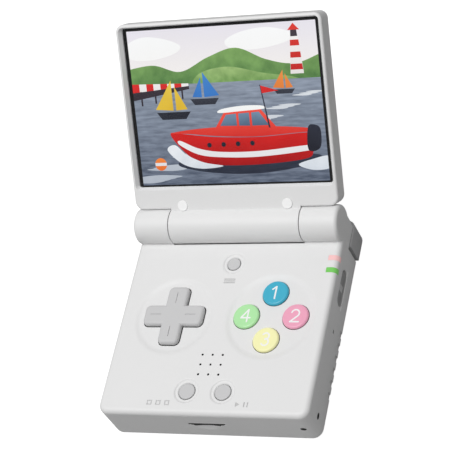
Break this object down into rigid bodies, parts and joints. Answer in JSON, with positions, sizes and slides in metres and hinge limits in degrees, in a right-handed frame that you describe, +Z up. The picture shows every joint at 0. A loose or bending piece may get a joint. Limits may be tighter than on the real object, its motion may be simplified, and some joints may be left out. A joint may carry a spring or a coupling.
{
  "type": "clamshell handheld game console",
  "caption": "Handheld game console with a hinged lid holding the screen over a base with cross pad, round buttons and rear shoulder buttons, shown open.",
  "frame": {"origin": "centre of the base's flat underside, on the surface it rests on", "axes": "+X to the player's right, +Y away from the player towards the hinge, +Z up"},
  "size_m": [0.0862, 0.1407, 0.0792],
  "materials": {
    "white_shell": "satin moulded plastic, off-white",
    "grey_button": "satin moulded plastic, light grey",
    "blue_button": "satin moulded plastic, blue",
    "green_button": "satin moulded plastic, pale green",
    "pink_button": "satin moulded plastic, pink",
    "yellow_button": "satin moulded plastic, pale yellow",
    "lens_glass": "clear, glossy",
    "black_foam": "matt black foam",
    "display": "display cell",
    "backlight": "pressed tray",
    "white_rubber": "soft, matt white",
    "silicone": "moulded silicone",
    "pivot_plastic": "moulded plastic",
    "circuit_board": "solder mask",
    "chip": "black moulding",
    "sheet_steel": "pressed steel",
    "screw_steel": "plated steel",
    "battery_wrap": "foil pouch",
    "black_plastic": "black moulding",
    "cable_film": "polyimide film",
    "pink_light": "translucent light pipe",
    "green_light": "translucent light pipe",
    "indicator": "light chips"
  },
  "bodies": {
    "base": {"base_top_shell": "white_shell", "base_bottom_shell": "white_shell", "main_board": "circuit_board", "board_screws": "screw_steel", "processor_chip": "chip", "board_shield": "sheet_steel", "battery_tape": "black_foam", "battery": "battery_wrap", "vibration_motor": "sheet_steel", "speaker_gasket": "black_foam", "speaker": "black_plastic", "indicator_lights": "indicator", "power_light_pipe": "pink_light", "charge_light_pipe": "green_light", "card_socket": "sheet_steel", "charging_port": "sheet_steel", "video_port": "sheet_steel", "headphone_jack": "black_plastic", "shoulder_switches": "black_plastic", "side_switches": "black_plastic", "face_button_pad": "silicone", "dpad_pad": "silicone", "menu_pad": "silicone", "option_pad": "silicone", "case_screws": "screw_steel", "hinge_bush": "screw_steel", "hinge_shaft": "screw_steel", "display_cable_base_half": "cable_film"},
    "lid": {"lid_bezel": "white_shell", "lid_back_cover": "white_shell", "screen_lens": "lens_glass", "screen_gasket": "black_foam", "display_panel": "display", "display_backlight": "backlight", "display_foam": "black_foam", "lid_bumpers": "white_rubber", "lid_screws": "screw_steel", "lid_magnet": "screw_steel", "hinge_click_unit": "screw_steel", "hinge_click_spring": "screw_steel", "display_cable_lid_half": "cable_film"},
    "memory_card": {"memory_card": "chip"},
    "dpad_gimbal": {"dpad_pivot": "pivot_plastic"},
    "dpad": {"dpad_cross": "grey_button"},
    "face_button_back": {"face_button_back": "blue_button"},
    "face_button_front": {"face_button_front": "yellow_button"},
    "face_button_left": {"face_button_left": "green_button"},
    "face_button_right": {"face_button_right": "pink_button"},
    "menu_button": {"menu_button": "grey_button"},
    "select_button": {"select_button": "grey_button"},
    "start_button": {"start_button": "grey_button"},
    "right_shoulder_button": {"right_shoulder_button": "grey_button"},
    "left_shoulder_button": {"left_shoulder_button": "grey_button"},
    "right_trigger": {"right_trigger": "grey_button"},
    "left_trigger": {"left_trigger": "grey_button"},
    "volume_rocker": {"volume_rocker": "grey_button"},
    "power_key": {"power_key": "white_shell"}
  },
  "joints": [
    {"name": "lid_hinge", "type": "hinge", "parent": "base", "child": "lid", "pos_m": [0, 0.03648, 0.0216], "axis": [-1, 0, 0], "range_deg": [-135.4, 20]},
    {"name": "card_pull", "type": "slide", "parent": "base", "child": "memory_card", "axis": [0, -1, 0], "range_m": [0, 0.0135]},
    {"name": "dpad_tilt_up_down", "type": "hinge", "parent": "base", "child": "dpad_gimbal", "pos_m": [-0.0197, -0.0024, 0.014], "axis": [1, 0, 0], "range_deg": [-2, 2], "stiffness_Nm_per_rad": 0.2},
    {"name": "dpad_tilt_left_right", "type": "hinge", "parent": "dpad_gimbal", "child": "dpad", "pos_m": [-0.0197, -0.0024, 0.014], "axis": [0, 1, 0], "range_deg": [-2, 2], "stiffness_Nm_per_rad": 0.2},
    {"name": "face_button_back_press", "type": "slide", "parent": "base", "child": "face_button_back", "axis": [0, 0, -1], "range_m": [0, 0.0008], "stiffness_N_per_m": 600},
    {"name": "face_button_front_press", "type": "slide", "parent": "base", "child": "face_button_front", "axis": [0, 0, -1], "range_m": [0, 0.0008], "stiffness_N_per_m": 600},
    {"name": "face_button_left_press", "type": "slide", "parent": "base", "child": "face_button_left", "axis": [0, 0, -1], "range_m": [0, 0.0008], "stiffness_N_per_m": 600},
    {"name": "face_button_right_press", "type": "slide", "parent": "base", "child": "face_button_right", "axis": [0, 0, -1], "range_m": [0, 0.0008], "stiffness_N_per_m": 600},
    {"name": "menu_button_press", "type": "slide", "parent": "base", "child": "menu_button", "axis": [0, 0, -1], "range_m": [0, 0.0005], "stiffness_N_per_m": 600},
    {"name": "select_button_press", "type": "slide", "parent": "base", "child": "select_button", "axis": [0, 0, -1], "range_m": [0, 0.0005], "stiffness_N_per_m": 600},
    {"name": "start_button_press", "type": "slide", "parent": "base", "child": "start_button", "axis": [0, 0, -1], "range_m": [0, 0.0005], "stiffness_N_per_m": 600},
    {"name": "right_shoulder_button_press", "type": "slide", "parent": "base", "child": "right_shoulder_button", "axis": [0, -1, 0], "range_m": [0, 0.0009], "stiffness_N_per_m": 600},
    {"name": "left_shoulder_button_press", "type": "slide", "parent": "base", "child": "left_shoulder_button", "axis": [0, -1, 0], "range_m": [0, 0.0009], "stiffness_N_per_m": 600},
    {"name": "right_trigger_press", "type": "slide", "parent": "base", "child": "right_trigger", "axis": [0, -1, 0], "range_m": [0, 0.0009], "stiffness_N_per_m": 600},
    {"name": "left_trigger_press", "type": "slide", "parent": "base", "child": "left_trigger", "axis": [0, -1, 0], "range_m": [0, 0.0009], "stiffness_N_per_m": 600},
    {"name": "volume_rocker_tilt", "type": "hinge", "parent": "base", "child": "volume_rocker", "pos_m": [0.0394, 0.0147, 0.01], "axis": [0, 0, 1], "range_deg": [-2, 2], "stiffness_Nm_per_rad": 0.1},
    {"name": "power_key_press", "type": "slide", "parent": "base", "child": "power_key", "axis": [1, 0, 0], "range_m": [0, 0.0005], "stiffness_N_per_m": 600}
  ]
}
